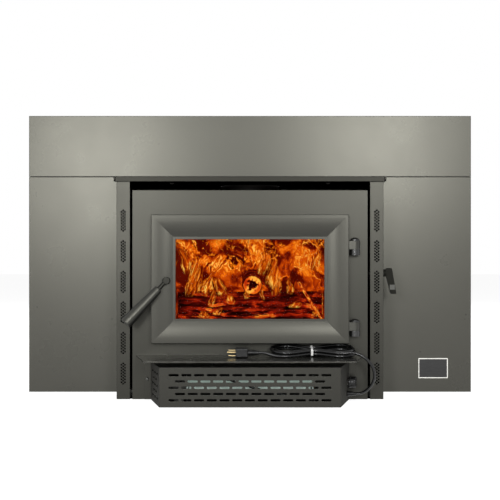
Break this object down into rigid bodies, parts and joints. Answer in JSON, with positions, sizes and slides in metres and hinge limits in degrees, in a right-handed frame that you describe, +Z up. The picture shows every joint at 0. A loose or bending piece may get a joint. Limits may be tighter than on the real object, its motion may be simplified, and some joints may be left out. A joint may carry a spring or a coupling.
{
  "type": "fireplace insert",
  "caption": "Wood-burning fireplace insert with a glazed hinged door, latch handle, air lever, perforated side columns, slotted blower box with lead and plug, and a folded sheet surround.",
  "frame": {"origin": "on the hearth, in the middle of the width, in the plane of the wall behind the surround", "axes": "+X to the right seen from the front, +Y to the back of the fireplace, +Z up"},
  "size_m": [1.118, 0.648, 0.698],
  "materials": {
    "surround_paint": "satin charcoal",
    "body_paint": "satin charcoal",
    "badge_face": "dark plate, thin bright edge, left bare",
    "hinge_grey": "grey painted blocks",
    "gloss_black": "gloss black",
    "black_grip": "black phenolic grip",
    "bare_steel": "bare steel",
    "zinc": "zinc plated sheet",
    "firebox_steel": "heat darkened plate",
    "firebrick": "fired clay brick",
    "board": "ceramic fibre board",
    "rope": "braided glass-fibre rope",
    "glass": "clear ceramic glass",
    "bark": "burning log",
    "ember": "embers and ash",
    "cord_black": "black mains lead",
    "tie_white": "white tie",
    "blade_brass": "brass blades",
    "bronze": "sintered bearing",
    "screw_black": "blackened screws"
  },
  "bodies": {
    "insert": {"ash_lip": "body_paint", "badge_plate": "badge_face", "baffle_board": "board", "blower_box": "body_paint", "blower_housing": "zinc", "blower_motor": "zinc", "cord_hank": "cord_black", "cord_lead": "cord_black", "cord_tail": "cord_black", "ember_bed": "ember", "face_plate": "body_paint", "face_screws": "screw_black", "fan_bearing": "bronze", "firebox_legs": "zinc", "firebox_shell": "firebox_steel", "floor_bricks": "firebrick", "flue_collar": "bare_steel", "hank_tie": "tie_white", "hinge_knuckles": "gloss_black", "hinge_pins": "gloss_black", "jacket_screws": "screw_black", "knob_nut": "bare_steel", "latch_keeper": "bare_steel", "left_column": "body_paint", "left_side_bricks": "firebrick", "levelling_bolts": "bare_steel", "lever_bushing": "bare_steel", "logs": "bark", "outer_jacket": "zinc", "plug_blades": "blade_brass", "plug_body": "cord_black", "rear_bricks": "firebrick", "right_column": "body_paint", "right_side_bricks": "firebrick", "secondary_air_tubes": "bare_steel", "shutter_guides": "bare_steel", "speed_control": "black_grip", "strain_relief": "cord_black", "surround_brackets": "zinc", "surround_left": "surround_paint", "surround_right": "surround_paint", "surround_screws": "screw_black", "surround_top": "surround_paint", "top_shelf": "body_paint"},
    "door": {"door_frame": "body_paint", "door_hinge_blocks": "hinge_grey", "door_glass": "glass", "glass_gasket": "rope", "glass_retainers": "bare_steel", "retainer_screws": "screw_black", "door_gasket": "rope", "handle_bushing": "bare_steel"},
    "handle": {"handle_shaft": "gloss_black", "handle_grip": "black_grip", "latch_cam": "bare_steel", "cam_nut": "bare_steel"},
    "air_lever": {"air_lever": "body_paint"},
    "air_shutter": {"air_shutter": "zinc"},
    "fan": {"fan_rotor": "zinc"},
    "knob": {"speed_knob": "black_grip"}
  },
  "joints": [
    {"name": "door_hinge", "type": "hinge", "parent": "insert", "child": "door", "pos_m": [0.25, -0.178, 0.2895], "axis": [0, 0, 1], "range_deg": [0, 120]},
    {"name": "handle_turn", "type": "hinge", "parent": "door", "child": "handle", "pos_m": [-0.1977, -0.2, 0.286], "axis": [0, 1, 0], "range_deg": [-30, 60]},
    {"name": "air_lever_turn", "type": "hinge", "parent": "insert", "child": "air_lever", "pos_m": [0.3, -0.125, 0.303], "axis": [-1, 0, 0], "range_deg": [0, 40]},
    {"name": "air_shutter_slide", "type": "slide", "parent": "insert", "child": "air_shutter", "axis": [0, -1, 0], "range_m": [0, 0.0162]},
    {"name": "fan_spin", "type": "hinge", "parent": "insert", "child": "fan", "pos_m": [0, -0.228, 0.044], "axis": [1, 0, 0], "continuous": true},
    {"name": "knob_turn", "type": "hinge", "parent": "insert", "child": "knob", "pos_m": [0.23224, -0.1862, 0.045], "axis": [0.9755, -0.22, 0], "range_deg": [0, 280]}
  ],
  "couplings": [
    {"joint": "air_shutter_slide", "follows": "air_lever_turn", "m_per_rad": 0.02302}
  ]
}
